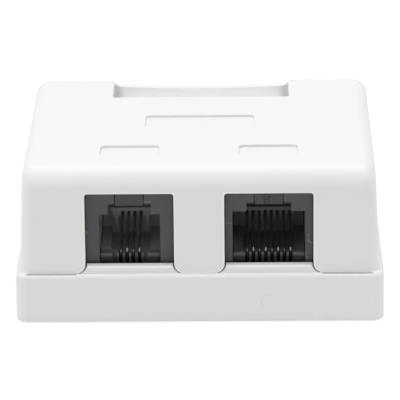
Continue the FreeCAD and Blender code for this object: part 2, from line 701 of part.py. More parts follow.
def make_contact_wire(jack, index):
    """Spring wire: solder tail, run forward, bend over the nose, slope up into the comb."""
    x = port_x(jack) + offsets(jack["contacts"])[index]
    lift = (index % 2) * WIRE_STAGGER
    front = JACK_FACE + WIRE_SETBACK
    bend_z = nose_top() + WIRE_GAP + WIRE_R + lift
    comb_end = HOUSING_REAR - CARRIER_BACK_THICKNESS - WIRE_GAP - WIRE_R
    end_z = COMB_SLOT_TOP - WIRE_R - WIRE_GAP
    tail = wire_tail(index)
    points = [(tail, BOARD_UNDER - TAIL_PROUD), (tail, WIRE_FOOT_Z), (front, WIRE_FOOT_Z),
              (front, bend_z), (comb_end, end_z)]
    return bent_wire(x, points, [WIRE_FOOT_R, WIRE_FOOT_R, WIRE_BEND_R], WIRE_R)


def blade_places(jack):
    """Middle of each terminal contact: two rows, from front to rear."""
    rows = jack["contacts"] // 2
    first = BLOCK_FRONT + TERMINAL_MARGIN + TERMINAL_PITCH / 2
    side_x = TOWER_INSET + TOWER_WALL / 2
    return [(port_x(jack) + side * side_x, first + row * TERMINAL_PITCH)
            for side in (-1, 1) for row in range(rows)]


def block_length(jack):
    """Length of a terminal block."""
    return jack["contacts"] // 2 * TERMINAL_PITCH + 2 * TERMINAL_MARGIN


def make_circuit_board(jack):
    """Board with holes for pegs, contact tails and terminal tails."""
    x = port_x(jack)
    rear = board_rear(jack)
    board = rounded_block(BOARD_WIDTH, rear - BOARD_FRONT, BOARD_CORNER_R, BOARD_UNDER,
                          BOARD_TOP, x, (rear + BOARD_FRONT) / 2)
    holes = [(peg_x, peg_y, peg_r + FIT_GAP) for peg_x, peg_y, peg_r in pegs(jack)]
    for index, offset in enumerate(offsets(jack["contacts"])):
        holes.append((x + offset, wire_tail(index), TAIL_HOLE_R))
    for blade_x, blade_y in blade_places(jack):
        holes.append((blade_x, blade_y, TAIL_HOLE_R))
    for hole_x, hole_y, radius in holes:
        board = board.cut(rod(radius, V(hole_x, hole_y, BOARD_UNDER - OVERSHOOT),
                              BOARD_THICKNESS + 2 * OVERSHOOT, V(0, 0, 1)))
    return one_solid(board)


def make_terminal_block(jack):
    """Two rows of pointed towers with a conductor slot between each pair."""
    x = port_x(jack)
    rear = BLOCK_FRONT + block_length(jack)
    half = BLOCK_BASE_WIDTH / 2
    top = BOARD_TOP + TOWER_HEIGHT
    bed = BOARD_TOP + BLOCK_BASE_HEIGHT
    block = box(x - half, x + half, BLOCK_FRONT, rear, BOARD_TOP, bed)
    for side in (-1, 1):
        near, far = TOWER_INSET, TOWER_INSET + TOWER_WALL
        shoulder = top - TOWER_POINT
        outline = [(near, bed), (far, bed), (far, shoulder), ((near + far) / 2, top),
                   (near, shoulder)]
        points = [(x + side * px, pz) for px, pz in outline]
        block = block.fuse(prism_xz(points, BLOCK_FRONT, rear))
    for blade_x, blade_y in blade_places(jack):
        block = block.cut(box(blade_x - TOWER_WALL, blade_x + TOWER_WALL,
                              blade_y - CONDUCTOR_SLOT / 2, blade_y + CONDUCTOR_SLOT / 2,
                              bed + CONDUCTOR_REST, top + OVERSHOOT))
        thick = BLADE_THICKNESS / 2 + BLADE_GAP
        wide = BLADE_WIDTH / 2 + BLADE_GAP
        block = block.cut(box(blade_x - thick, blade_x + thick, blade_y - wide, blade_y + wide,
                              BOARD_TOP - OVERSHOOT, BOARD_TOP + BLADE_TOP + BLADE_GAP))
    return one_solid(block)


def make_terminal_contact(jack, index):
    """Flat forked blade with a V mouth and a solder tail."""
    x, y = blade_places(jack)[index]
    top = BOARD_TOP + BLADE_TOP
    half = BLADE_WIDTH / 2
    slit = BLADE_SLIT / 2
    mouth = BLADE_MOUTH / 2
    tail = BLADE_TAIL_WIDTH / 2
    low = BOARD_UNDER - TAIL_PROUD
    shoulder = BOARD_TOP + FIT_GAP
    right = [(tail, low), (tail, shoulder), (half, shoulder), (half, top - BLADE_CORNER),
             (half - BLADE_CORNER, top), (mouth, top), (slit, top - BLADE_MOUTH_DEPTH),
             (slit, top - BLADE_SLIT_DEPTH)]
    outline = right + [(-py, pz) for py, pz in reversed(right)]
    points = [(y + py, pz) for py, pz in outline]
    return prism_yz(points, x - BLADE_THICKNESS / 2, x + BLADE_THICKNESS / 2)


def make_stuffer_cap(jack):
    """Cap over a terminal block: top plate, skirts with cable notches and pressing webs."""
    x = port_x(jack)
    rear = BLOCK_FRONT + block_length(jack)
    under = BOARD_TOP + TOWER_HEIGHT + CAP_GAP
    inner = TOWER_INSET + TOWER_WALL + CAP_SKIRT_GAP
    outer = inner + CAP_SKIRT
    skirt_low = BOARD_TOP + BLOCK_BASE_HEIGHT + CAP_GAP
    plate = box(x - outer, x + outer, BLOCK_FRONT, rear, under, under + CAP_PLATE)
    plate = plate.makeFillet(CAP_EDGE_R, [e for e in plate.Edges
                                          if e.BoundBox.ZMin > under + CAP_PLATE - NEAR])
    added = []
    for side in (-1, 1):
        low, high = sorted((x + side * inner, x + side * outer))
        added.append(box(low, high, BLOCK_FRONT, rear, skirt_low, under))
    for blade_x, blade_y in blade_places(jack):
        added.append(box(blade_x - TOWER_WALL / 2, blade_x + TOWER_WALL / 2,
                         blade_y - CAP_WEB / 2, blade_y + CAP_WEB / 2,
                         under - CAP_WEB_DEPTH, under))
    cap = plate.fuse(added)
    for blade_x, blade_y in blade_places(jack):
        reach = TOWER_WALL / 2 + CAP_SKIRT + CAP_SKIRT_GAP + OVERSHOOT
        side = math.copysign(1, blade_x - x)
        low, high = sorted((blade_x, blade_x + side * reach))
        cap = cap.cut(box(low, high, blade_y - CAP_NOTCH_WIDTH / 2, blade_y + CAP_NOTCH_WIDTH / 2,
                          skirt_low - OVERSHOOT, skirt_low + CAP_NOTCH_HEIGHT))
    return one_solid(cap)


def save(name, shape):
    """Write one piece to its own STEP file."""
    if not shape.isValid():
        raise ValueError(name + " is not a valid solid")
    shape.exportStep("parts/%s.step" % name)


def main():
    os.makedirs("parts", exist_ok=True)
    save("base", make_base())
    save("cover", make_cover())
    for name, jack in JACKS.items():
        save(name + "_jack_housing", make_jack_housing(jack))
        save(name + "_contact_carrier", make_contact_carrier(jack))
        save(name + "_circuit_board", make_circuit_board(jack))
        save(name + "_terminal_block", make_terminal_block(jack))
        save(name + "_stuffer_cap", make_stuffer_cap(jack))
        for index in range(jack["contacts"]):
            save("%s_contact_wire_%d" % (name, index + 1), make_contact_wire(jack, index))
            save("%s_terminal_contact_%d" % (name, index + 1), make_terminal_contact(jack, index))


main()
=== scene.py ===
"""Looks of a two-port surface mount jack box: white shell, charcoal jacks, gold contacts."""

import math

import bpy
from mathutils import Matrix, Vector


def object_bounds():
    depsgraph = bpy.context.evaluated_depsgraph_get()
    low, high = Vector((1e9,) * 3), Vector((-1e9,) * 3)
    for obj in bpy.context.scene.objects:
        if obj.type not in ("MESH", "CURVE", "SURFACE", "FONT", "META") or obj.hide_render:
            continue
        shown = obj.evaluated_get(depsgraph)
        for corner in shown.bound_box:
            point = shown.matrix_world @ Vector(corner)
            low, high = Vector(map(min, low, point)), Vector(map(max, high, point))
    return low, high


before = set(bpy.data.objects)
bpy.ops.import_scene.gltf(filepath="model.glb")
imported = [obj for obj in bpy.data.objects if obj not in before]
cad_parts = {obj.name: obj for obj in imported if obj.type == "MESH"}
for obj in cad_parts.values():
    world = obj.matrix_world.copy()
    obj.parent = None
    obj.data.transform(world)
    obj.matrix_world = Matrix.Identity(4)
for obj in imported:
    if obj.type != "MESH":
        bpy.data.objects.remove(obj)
CAD_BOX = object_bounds()
MM = 0.001

# Viewpoint, in degrees and millimetres
VIEW_ELEVATION = 19.502
VIEW_YAW = -0.826
VIEW_ROLL = -0.632
VIEW_DISTANCE = 534.08
VIEW_LENS = 297.19
VIEW_SENSOR = 36.0
VIEW_NEAREST, VIEW_FARTHEST = 0.01, 20.0    # metres
AIM = (0.212, -24.85, 20.844)

# Colours of the white shell, linear
WHITE_ABS = (0.84, 0.838, 0.832)
PAINTED_LIGHT_WHITE = (0.97, 0.97, 0.965)        # painted highlight on the rims of the windows, painted light on the tops of the pads
RUBBED_WHITE = (0.74, 0.735, 0.73)          # hairline on the base
SLOT_PAINTED_LIGHT = (0.93, 0.928, 0.92)            # painted light on the walls and floor of the finger slot
SLOT_END_WHITE = (0.42, 0.42, 0.41)         # shade towards the slot's ends
SEAM_GREY = (0.42, 0.405, 0.39)             # shade below the cover's front edge

# Colours of the jacks
CHARCOAL = (0.067, 0.067, 0.073)
CHARCOAL_INSERT = (0.095, 0.095, 0.098)
TONGUE_CHARCOAL = (0.042, 0.043, 0.047)
PAINTED_LIGHT_SIX = (0.40, 0.40, 0.405)            # painted light on the walls inside the six-position socket
PAINTED_LIGHT_EIGHT = (0.22, 0.22, 0.222)          # painted light on the walls inside the eight-position socket
# painted highlight on the front strip of the nose bar's top
NOSE_PAINTED_HIGHLIGHT = (0.21, 0.21, 0.215)
NOSE_SHADED = (0.035, 0.035, 0.037)
SCUFFED_CHARCOAL = (0.18, 0.18, 0.185)
SHADED_CHARCOAL = (0.016, 0.016, 0.018)

# Colours of the parts inside the box
IVORY = (0.76, 0.73, 0.65)                  # terminal blocks
CAP_WHITE = (0.80, 0.81, 0.82)              # stuffer caps
SOLDER_MASK = (0.012, 0.095, 0.040)
COPPER_UNDER_MASK = (0.030, 0.175, 0.070)
BARE_LAMINATE = (0.42, 0.40, 0.22)          # cut edges of the boards
GOLD_PLATE = (0.34, 0.315, 0.27)
SHADED_GOLD = (0.05, 0.047, 0.042)            # painted shade on the contact wires down in their grooves
TIN_PLATE = (0.78, 0.77, 0.74)

# Roughness of each finish
WHITE_ROUGHNESS = 0.42
HOUSING_ROUGHNESS = 0.45
INSERT_ROUGHNESS = 0.5
BOARD_ROUGHNESS = 0.3
BLOCK_ROUGHNESS = 0.4
CAP_ROUGHNESS = 0.3
PLATING_ROUGHNESS = 0.3

# Moulded plastic: grain, cloudiness and the rounding of edges, sizes in millimetres
PLASTIC_IOR = 1.5
GRAIN_SIZE = 0.12
GRAIN_DETAIL = 4.0
GRAIN_RELIEF = 0.02
GRAIN_STRENGTH = 0.10
GLOSS_RANGE = 0.06
CLOUD_SIZE = 16.0
CLOUD_DETAIL = 3.0
MOTTLING = 0.03
CHARCOAL_MOTTLING = 0.12
EDGE_ROUNDING = 0.12
WHITE_EDGE_ROUNDING = 0.15
INSERT_EDGE_ROUNDING = 0.06
EDGE_SAMPLES = 4

# Plated metal: drawing marks, in millimetres, and how the gloss varies with them
DRAWN_SIZE = 0.4
DRAWN_SHADE = 0.9
DRAWN_SMOOTHER, DRAWN_ROUGHER = 0.05, 0.08

# Circuit boards, in millimetres: places from the middle of a port
BOARD_GRAIN = 0.3
EDGE_TRACKS = (7.75, 8.15)
ROW_TRACK_STEP = 0.9
ROW_TRACK_REACH = 7.3
CUT_EDGE_SLOPE = (0.4, 0.6)                 # upward part of the normal, edge to face

# Places on the box where a finish changes, in millimetres in the frame's axes
PORT_MIDDLE = 11.35
WINDOW_HALF = 7.25
WINDOW_TOP = 21.75
FOOT_R = 1.6                                # flare of a window's feet
FOOT_TOP = 9.8
FOOT_OUTER = WINDOW_HALF + FOOT_R
BASE_FACE = -25.6
JACK_FACE = -22.75
RIM_TOP = 8.2
PAD_TOP = 9.4
PAD_EDGE_IN = 0.22                          # pads' outline inside the windows' outline
SOCKET_FLOOR = 9.3
SOCKET_ROOF = 19.75
SOCKET_REAR = -7.5
TONGUE_FOOT = 19.0
NOSE_TOP = 10.65
NOSE_FRONT = -22.4
GROOVE_TOP = 10.75                          # the contact wires carry painted shade below this
SLOT_HALF = 15.1
SLOT_FRONT = 12.3
SEAM_LOW = RIM_TOP - 0.10                   # foot of the shade on the rim's rounding
SEAM_INNER = -24.75
SEAM_REACH = 28.6
SEAM_FAINT_TO, SEAM_FULL_FROM = 17.0, 20.5

# How far back a finish on a front face reaches, in millimetres
WINDOW_RIM_BACK = JACK_FACE - 0.5
SLOT_BACK = 22.6
NOSE_TOP_BACK = JACK_FACE + 2.0
NOSE_LIP_BACK = NOSE_FRONT + 0.05
TONGUE_BACK = JACK_FACE + 0.3
KEYHOLE_BACK = JACK_FACE + 0.2
SOCKET_BACK = SOCKET_REAR + 1.0

# Fading edges of the finishes: start and end in millimetres, counted from the place itself
SHORT_FADE = (0.0, 0.1)
BACK_FADE = (0.05, 0.10)
WINDOW_RIM_FADE = (0.12, 0.28)
FACE_EDGE_FADE = (-0.30, -0.10)
TONGUE_FADE = (-0.1, 0.0)
SOCKET_SIDE_FADE = (0.03, 0.06)
SOCKET_FLOOR_FADE = (0.0, 0.2)
SOCKET_MOUTH_FADE = (1.3, 3.3)
NOSE_RISE_FADE = (-0.05, -0.02)
NOSE_ABOVE_FADE = (0.05, 0.1)
NOSE_HIGHLIGHT_FADE = (0.7, 1.2)
NOSE_LIP_FADE = (-0.1, -0.05)
GROOVE_FADE = (0.0, 0.35)
SLOT_END_FADE = (-1.8, -0.1)
SEAM_LOW_FADE = (-0.04, 0.0)
SEAM_TOP_FADE = (0.02, 0.05)
SEAM_INNER_FADE = (0.0, 0.05)
SEAM_END_FADE = (-0.6, 0.0)
SEAM_FOOT_FADE = (-0.4, 0.0)
PAD_EDGE_FADE = (-0.14, 0.0)
PAD_RISE_START = 0.1
PAD_TOP_FADE = (-0.25, -0.1)
EDGE_TRACK_FADE = (0.08, 0.12)
ROW_TRACK_FADE = (0.14, 0.18)
ROW_END_FADE = (0.0, 0.02)

# Full strength of the weaker shades and marks
FACE_EDGE_SHADE = 0.8
NOSE_LIP_SHADE = 0.8
SLOT_END_SHADE = 0.55
PAD_EDGE_SHADE = 0.9
SEAM_FAINT_SHADE = 0.3
SCUFF_STRENGTH = 0.7

# Fine marks on upright faces: start and end as x, z in millimetres, then width
MARK_CORE, MARK_FADED = 0.3, 0.7            # full and faded half-width, as shares of the width
SIX_SCUFFS = [
    ((-9.0, 19.78), (-7.85, 19.86), 0.20),
    ((-8.95, 19.8), (-8.9, 19.8), 0.34),
    ((-18.45, 14.76), (-18.32, 14.45), 0.28),
]
EIGHT_SCUFFS = [
    ((4.21, 16.1), (5.35, 16.1), 0.16),
    ((17.70, 12.98), (18.37, 12.54), 0.20),
    ((17.8, 14.15), (17.8, 13.7), 0.16),
    ((17.33, 10.75), (17.38, 10.3), 0.20),
    ((17.38, 10.3), (17.62, 9.98), 0.20),
]
KEYHOLE_MIDDLE = (11.02, 20.6)
KEYHOLE_R = 0.48
KEYHOLE_LINE = 0.2
KEYHOLE_SIDES = [
    ((10.67, 20.25), (10.67, 19.3), KEYHOLE_LINE),
    ((11.37, 20.25), (11.37, 19.3), KEYHOLE_LINE),
]
HAIRLINE_WIDTH = 0.16
HAIRLINE_BENDS = [(10.29, 2.33), (10.14, 3.03), (10.13, 3.73), (10.21, 3.99), (10.46, 4.30),
                  (10.82, 4.56), (11.23, 4.65), (11.72, 4.68)]

# Each jack: half the width of its socket, the painted light on the walls inside it and the scuffs
# on its face
JACKS = {
    "six": (4.95, PAINTED_LIGHT_SIX, SIX_SCUFFS),
    "eight": (5.92, PAINTED_LIGHT_EIGHT, EIGHT_SCUFFS),
}

# Soft boxes: place and size in metres, power in watts
LAMP_AIM = (0, 0, 0.02)
SOFTBOXES = [
    ("top_softbox", (0, -0.06, 0.7), (0.9, 0.35), 3.65),
    ("front_softbox", (0, -0.85, 0.14), (1.0, 0.6), 0.1),
    ("left_softbox", (-0.8, -0.1, 0.3), (0.8, 0.6), 0.95),
    ("right_softbox", (0.8, -0.1, 0.3), (0.8, 0.6), 0.42),
]
FILL = 0.45                                 # strength of the even light round the box

# Floor, in metres, its grey as light meets it and as the camera sees it
FLOOR_SIZE = 6.0
FLOOR_DROP = 0.0002
FLOOR_GREY = 0.9
FLOOR_ROUGHNESS = 0.9
FLOOR_GLOW = 0.80
FLOOR_MATTE = 0.25


def grey(level):
    """Opaque grey, as a colour socket takes it."""
    return (level, level, level, 1)


def shade(colour, factor):
    """Darker form of a colour."""
    return tuple(c * factor for c in colour)


def new_material(name):
    """Empty finish, with its nodes and links."""
    material = bpy.data.materials.new(name)
    material.use_nodes = True
    return material, material.node_tree.nodes, material.node_tree.links


def object_place(nodes):
    """Place of a point on its piece."""
    return nodes.new("ShaderNodeTexCoord").outputs["Object"]


def noise(nodes, links, place, size_mm, detail=CLOUD_DETAIL):
    """Cloudy pattern whose blotches are about the given size."""
    cloud = nodes.new("ShaderNodeTexNoise")
    cloud.inputs["Scale"].default_value = 1.0 / (size_mm * MM)
    cloud.inputs["Detail"].default_value = detail
    links.new(place, cloud.inputs["Vector"])
    return cloud.outputs["Fac"]


def spread(nodes, links, value, low, high, start=0.0, end=1.0):
    """Map a value from start..end to low..high, held at both ends."""
    step = nodes.new("ShaderNodeMapRange")
    for socket, number in (("From Min", start), ("From Max", end),
                           ("To Min", low), ("To Max", high)):
        step.inputs[socket].default_value = number
    links.new(value, step.inputs["Value"])
    return step.outputs["Result"]


def rise(nodes, links, value, place, fade, top=1.0):
    """Nought before a place in millimetres, growing over the fade to the top after it."""
    return spread(nodes, links, value, 0.0, top, (place + fade[0]) * MM, (place + fade[1]) * MM)


def fall(nodes, links, value, place, fade, top=1.0):
    """The top before a place in millimetres, dropping over the fade to nought after it."""
    return spread(nodes, links, value, top, 0.0, (place + fade[0]) * MM, (place + fade[1]) * MM)


def blend(nodes, links, factor, first, second):
    """Mix of two colours, each a tuple or the output of a node."""
    mix = nodes.new("ShaderNodeMixRGB")
    for socket, colour in (("Color1", first), ("Color2", second)):
        if isinstance(colour, tuple):
            mix.inputs[socket].default_value = (*colour, 1)
        else:
            links.new(colour, mix.inputs[socket])
    links.new(factor, mix.inputs["Fac"])
    return mix.outputs["Color"]


def calc(nodes, links, operation, first, second=0.0):
    """One step of arithmetic on two values, each a number or the output of a node."""
    step = nodes.new("ShaderNodeMath")
    step.operation = operation
    for slot, value in enumerate((first, second)):
        if isinstance(value, (int, float)):
            step.inputs[slot].default_value = value
        else:
            links.new(value, step.inputs[slot])
    return step.outputs[0]


def carry(nodes, links, operation, values):
    """One operation carried through several values: the product, or the greatest."""
    total = values[0]
    for value in values[1:]:
        total = calc(nodes, links, operation, total, value)
    return total


def vector_calc(nodes, links, operation, first, second):
    """One step of arithmetic on two vectors, each a tuple or the output of a node."""
    step = nodes.new("ShaderNodeVectorMath")
    step.operation = operation
    for slot, value in enumerate((first, second)):
        if isinstance(value, tuple):
            step.inputs[slot].default_value = value
        else:
            links.new(value, step.inputs[slot])
    return step.outputs["Value" if operation in ("DOT_PRODUCT", "DISTANCE") else "Vector"]


def parts_of(nodes, links, vector):
    """The x, y and z of a vector."""
    split = nodes.new("ShaderNodeSeparateXYZ")
    links.new(vector, split.inputs["Vector"])
    return split.outputs


def flattened(nodes, links, place):
    """A place with its depth taken out, for marks on upright faces."""
    return vector_calc(nodes, links, "MULTIPLY", place, (1, 0, 1))


def from_port(nodes, links, x):
    """Sideways distance from the middle of the nearer port."""
    side = calc(nodes, links, "ABSOLUTE", x)
    return calc(nodes, links, "ABSOLUTE", calc(nodes, links, "SUBTRACT", side, PORT_MIDDLE * MM))


def stroke(nodes, links, flat, start, end, width):
    """One on a straight mark between two places of an upright face, nought beside it."""
    run = Vector((end[0] - start[0], 0, end[1] - start[1])) * MM
    away = vector_calc(nodes, links, "SUBTRACT", flat, (start[0] * MM, 0, start[1] * MM))
    along = vector_calc(nodes, links, "DOT_PRODUCT", away, tuple(run / run.length_squared))
    along = calc(nodes, links, "MINIMUM", calc(nodes, links, "MAXIMUM", along, 0.0), 1.0)
    nearest = nodes.new("ShaderNodeVectorMath")
    nearest.operation = "SCALE"
    nearest.inputs[0].default_value = run
    links.new(along, nearest.inputs["Scale"])
    gap = vector_calc(nodes, links, "DISTANCE", away, nearest.outputs["Vector"])
    return fall(nodes, links, gap, 0, (MARK_CORE * width, MARK_FADED * width))


def ring(nodes, links, flat, middle, radius, width):
    """One on a round outline of an upright face, nought beside it."""
    away = vector_calc(nodes, links, "DISTANCE", flat, (middle[0] * MM, 0, middle[1] * MM))
    gap = calc(nodes, links, "ABSOLUTE", calc(nodes, links, "SUBTRACT", away, radius * MM))
    return fall(nodes, links, gap, 0, (MARK_CORE * width, MARK_FADED * width))


def past_window(nodes, links, place):
    """Distance past the outline of the nearer window, below nought inside it."""
    x, _, z = parts_of(nodes, links, place)
    across = calc(nodes, links, "MINIMUM", from_port(nodes, links, x), FOOT_OUTER * MM)
    corner = nodes.new("ShaderNodeCombineXYZ")
    links.new(across, corner.inputs["X"])
    links.new(calc(nodes, links, "MINIMUM", z, FOOT_TOP * MM), corner.inputs["Z"])
    leg = vector_calc(nodes, links, "DISTANCE", corner.outputs["Vector"],
                      (FOOT_OUTER * MM, 0, FOOT_TOP * MM))
    beside = calc(nodes, links, "SUBTRACT", FOOT_R * MM, leg)
    above = calc(nodes, links, "SUBTRACT", z, WINDOW_TOP * MM)
    return calc(nodes, links, "MAXIMUM", beside, above)


def tint_where(material, make_mask, colour, back):
    """Lay a colour over a material where a mask says so, on faces in front of a depth."""
    nodes, links = material.node_tree.nodes, material.node_tree.links
    place = object_place(nodes)
    mask = make_mask(nodes, links, place)
    near = fall(nodes, links, parts_of(nodes, links, place)["Y"], back, BACK_FADE)
    shader = nodes["Principled BSDF"]
    below = shader.inputs["Base Color"].links[0].from_socket
    over = blend(nodes, links, calc(nodes, links, "MULTIPLY", mask, near), below, colour)
    links.new(over, shader.inputs["Base Color"])


def strokes_mask(strokes, strength=1.0):
    """Mask maker for a set of straight marks."""
    def make(nodes, links, place):
        flat = flattened(nodes, links, place)
        marks = [stroke(nodes, links, flat, *one) for one in strokes]
        return calc(nodes, links, "MULTIPLY", carry(nodes, links, "MAXIMUM", marks), strength)
    return make


def keyhole_mask(nodes, links, place):
    """Outline of the round mark on the latch tongue and of its channel."""
    flat = flattened(nodes, links, place)
    marks = [ring(nodes, links, flat, KEYHOLE_MIDDLE, KEYHOLE_R, KEYHOLE_LINE)]
    marks += [stroke(nodes, links, flat, *one) for one in KEYHOLE_SIDES]
    return carry(nodes, links, "MAXIMUM", marks)


def window_rim_mask(nodes, links, place):
    """Painted highlight on a narrow rim just outside the windows' outline."""
    return fall(nodes, links, past_window(nodes, links, place), 0, WINDOW_RIM_FADE)


def face_edge_mask(nodes, links, place):
    """Narrow shaded band on a jack's face along the windows' outline."""
    past = past_window(nodes, links, place)
    return rise(nodes, links, past, 0, FACE_EDGE_FADE, FACE_EDGE_SHADE)


def tongue_mask(nodes, links, place):
    """Face of the latch tongue."""
    return rise(nodes, links, parts_of(nodes, links, place)["Z"], TONGUE_FOOT, TONGUE_FADE)


def socket_mask(half):
    """Mask maker for the painted light on the walls inside a socket of that half-width, behind its
    face.
    """
    def make(nodes, links, place):
        x, y, z = parts_of(nodes, links, place)
        return carry(nodes, links, "MULTIPLY", [
            fall(nodes, links, from_port(nodes, links, x), half, SOCKET_SIDE_FADE),
            rise(nodes, links, z, SOCKET_FLOOR, SOCKET_FLOOR_FADE),
            fall(nodes, links, z, SOCKET_ROOF, SHORT_FADE),
            rise(nodes, links, y, JACK_FACE, SOCKET_MOUTH_FADE),
            fall(nodes, links, y, SOCKET_REAR, SHORT_FADE)])
    return make


def nose_top_mask(nodes, links, place):
    """Front strip of the nose bar's top, given a painted highlight."""
    _, y, z = parts_of(nodes, links, place)
    return carry(nodes, links, "MULTIPLY", [
        rise(nodes, links, z, NOSE_TOP, NOSE_RISE_FADE),
        fall(nodes, links, z, NOSE_TOP, NOSE_ABOVE_FADE),
        fall(nodes, links, y, NOSE_FRONT, NOSE_HIGHLIGHT_FADE)])


def nose_lip_mask(nodes, links, place):
    """Upright front of the nose bar."""
    z = parts_of(nodes, links, place)["Z"]
    return fall(nodes, links, z, NOSE_TOP, NOSE_LIP_FADE, NOSE_LIP_SHADE)


def slot_mask(nodes, links, place):
    """Walls and floor of the rear finger slot, which take painted light and, towards the ends,
    painted shade.
    """
    x, y, _ = parts_of(nodes, links, place)
    side = calc(nodes, links, "ABSOLUTE", x)
    return carry(nodes, links, "MULTIPLY", [
        fall(nodes, links, side, SLOT_HALF, SHORT_FADE),
        rise(nodes, links, y, SLOT_FRONT, SHORT_FADE)])


def slot_end_mask(nodes, links, place):
    """Shade that deepens towards the ends of the finger slot."""
    side = calc(nodes, links, "ABSOLUTE", parts_of(nodes, links, place)["X"])
    towards_end = rise(nodes, links, side, SLOT_HALF, SLOT_END_FADE, SLOT_END_SHADE)
    return calc(nodes, links, "MULTIPLY", towards_end, slot_mask(nodes, links, place))


def seam_mask(nodes, links, place):
    """Line of shade on the front rim, just below the cover's edge."""
    x, y, z = parts_of(nodes, links, place)
    side = calc(nodes, links, "ABSOLUTE", x)
    return carry(nodes, links, "MULTIPLY", [
        rise(nodes, links, z, SEAM_LOW, SEAM_LOW_FADE),
        fall(nodes, links, z, RIM_TOP, SEAM_TOP_FADE),
        fall(nodes, links, y, SEAM_INNER, SEAM_INNER_FADE),
        spread(nodes, links, side, SEAM_FAINT_SHADE, 1.0, SEAM_FAINT_TO * MM, SEAM_FULL_FROM * MM),
        fall(nodes, links, side, SEAM_REACH, SEAM_END_FADE),
        rise(nodes, links, from_port(nodes, links, x), FOOT_OUTER, SEAM_FOOT_FADE)])


def pad_edge_mask(nodes, links, place):
    """Painted shade along the outline of the raised pads, deepest at their tops."""
    z = parts_of(nodes, links, place)["Z"]
    edge = rise(nodes, links, past_window(nodes, links, place), -PAD_EDGE_IN, PAD_EDGE_FADE)
    up_the_pad = spread(nodes, links, z, 0.0, PAD_EDGE_SHADE,
                        (RIM_TOP + PAD_RISE_START) * MM, PAD_TOP * MM)
    return calc(nodes, links, "MULTIPLY", edge, up_the_pad)


def pad_top_mask(nodes, links, place):
    """Painted light on the tops of the two raised pads."""
    return rise(nodes, links, parts_of(nodes, links, place)["Z"], PAD_TOP, PAD_TOP_FADE)


def surface_relief(nodes, links, shader, grain, edge_mm):
    """Fine grain on top of the narrow rounding that every moulded edge has."""
    edge = nodes.new("ShaderNodeBevel")
    edge.samples = EDGE_SAMPLES
    edge.inputs["Radius"].default_value = edge_mm * MM
    relief = nodes.new("ShaderNodeBump")
    relief.inputs["Strength"].default_value = GRAIN_STRENGTH
    relief.inputs["Distance"].default_value = GRAIN_RELIEF * MM
    links.new(grain, relief.inputs["Height"])
    links.new(edge.outputs["Normal"], relief.inputs["Normal"])
    links.new(relief.outputs["Normal"], shader.inputs["Normal"])


def moulded_plastic(name, colour, roughness, grain_mm=GRAIN_SIZE, mottling=MOTTLING,
                    edge_mm=EDGE_ROUNDING):
    """Moulded plastic with a fine tool grain, slight cloudiness and softened edges."""
    material, nodes, links = new_material(name)
    shader = nodes["Principled BSDF"]
    shader.inputs["IOR"].default_value = PLASTIC_IOR
    place = object_place(nodes)
    cloud = noise(nodes, links, place, CLOUD_SIZE)
    grain = noise(nodes, links, place, grain_mm, GRAIN_DETAIL)
    tint = blend(nodes, links, cloud, shade(colour, 1 - mottling), colour)
    links.new(tint, shader.inputs["Base Color"])
    gloss = spread(nodes, links, grain, roughness - GLOSS_RANGE, roughness + GLOSS_RANGE)
    links.new(gloss, shader.inputs["Roughness"])
    surface_relief(nodes, links, shader, grain, edge_mm)
    return material


def green_board(name):
    """Green solder mask with copper tracks under it and bare cut edges."""
    material = moulded_plastic(name, SOLDER_MASK, BOARD_ROUGHNESS, BOARD_GRAIN)
    nodes, links = material.node_tree.nodes, material.node_tree.links
    across = from_port(nodes, links, parts_of(nodes, links, object_place(nodes))["X"])
    tracks = []
    for offset in EDGE_TRACKS:
        gap = calc(nodes, links, "ABSOLUTE", calc(nodes, links, "SUBTRACT", across, offset * MM))
        tracks.append(fall(nodes, links, gap, 0, EDGE_TRACK_FADE))
    wave = calc(nodes, links, "PINGPONG", across, ROW_TRACK_STEP * MM)
    tracks.append(carry(nodes, links, "MULTIPLY", [
        fall(nodes, links, wave, 0, ROW_TRACK_FADE),
        fall(nodes, links, across, ROW_TRACK_REACH, ROW_END_FADE)]))
    shader = nodes["Principled BSDF"]
    mask_colour = shader.inputs["Base Color"].links[0].from_socket
    printed = blend(nodes, links, carry(nodes, links, "MAXIMUM", tracks), mask_colour,
                    COPPER_UNDER_MASK)
    upward = parts_of(nodes, links, nodes.new("ShaderNodeNewGeometry").outputs["Normal"])["Z"]
    cut_edge = spread(nodes, links, calc(nodes, links, "ABSOLUTE", upward), 1.0, 0.0,
                      *CUT_EDGE_SLOPE)
    links.new(blend(nodes, links, cut_edge, printed, BARE_LAMINATE), shader.inputs["Base Color"])
    return material


def plated_metal(name, colour, groove_shade=None):
    """Plated wire or blade with faint drawing marks, and painted shade where it lies in its
    groove.
    """
    material, nodes, links = new_material(name)
    shader = nodes["Principled BSDF"]
    shader.inputs["Metallic"].default_value = 1.0
    place = object_place(nodes)
    marks = noise(nodes, links, place, DRAWN_SIZE)
    tint = blend(nodes, links, marks, shade(colour, DRAWN_SHADE), colour)
    if groove_shade:
        z = parts_of(nodes, links, place)["Z"]
        tint = blend(nodes, links, fall(nodes, links, z, GROOVE_TOP, GROOVE_FADE), tint, groove_shade)
    links.new(tint, shader.inputs["Base Color"])
    gloss = spread(nodes, links, marks, PLATING_ROUGHNESS - DRAWN_SMOOTHER,
                   PLATING_ROUGHNESS + DRAWN_ROUGHER)
    links.new(gloss, shader.inputs["Roughness"])
    return material


def cover_finish():
    """White cover with a painted highlight on the window rims, painted light in the finger slot
    and painted shade towards the slot's ends.
    """
    shell = moulded_plastic("white_abs_cover", WHITE_ABS, WHITE_ROUGHNESS,
                            edge_mm=WHITE_EDGE_ROUNDING)
    tint_where(shell, window_rim_mask, PAINTED_LIGHT_WHITE, WINDOW_RIM_BACK)
    tint_where(shell, slot_mask, SLOT_PAINTED_LIGHT, SLOT_BACK)
    tint_where(shell, slot_end_mask, SLOT_END_WHITE, SLOT_BACK)
    return shell


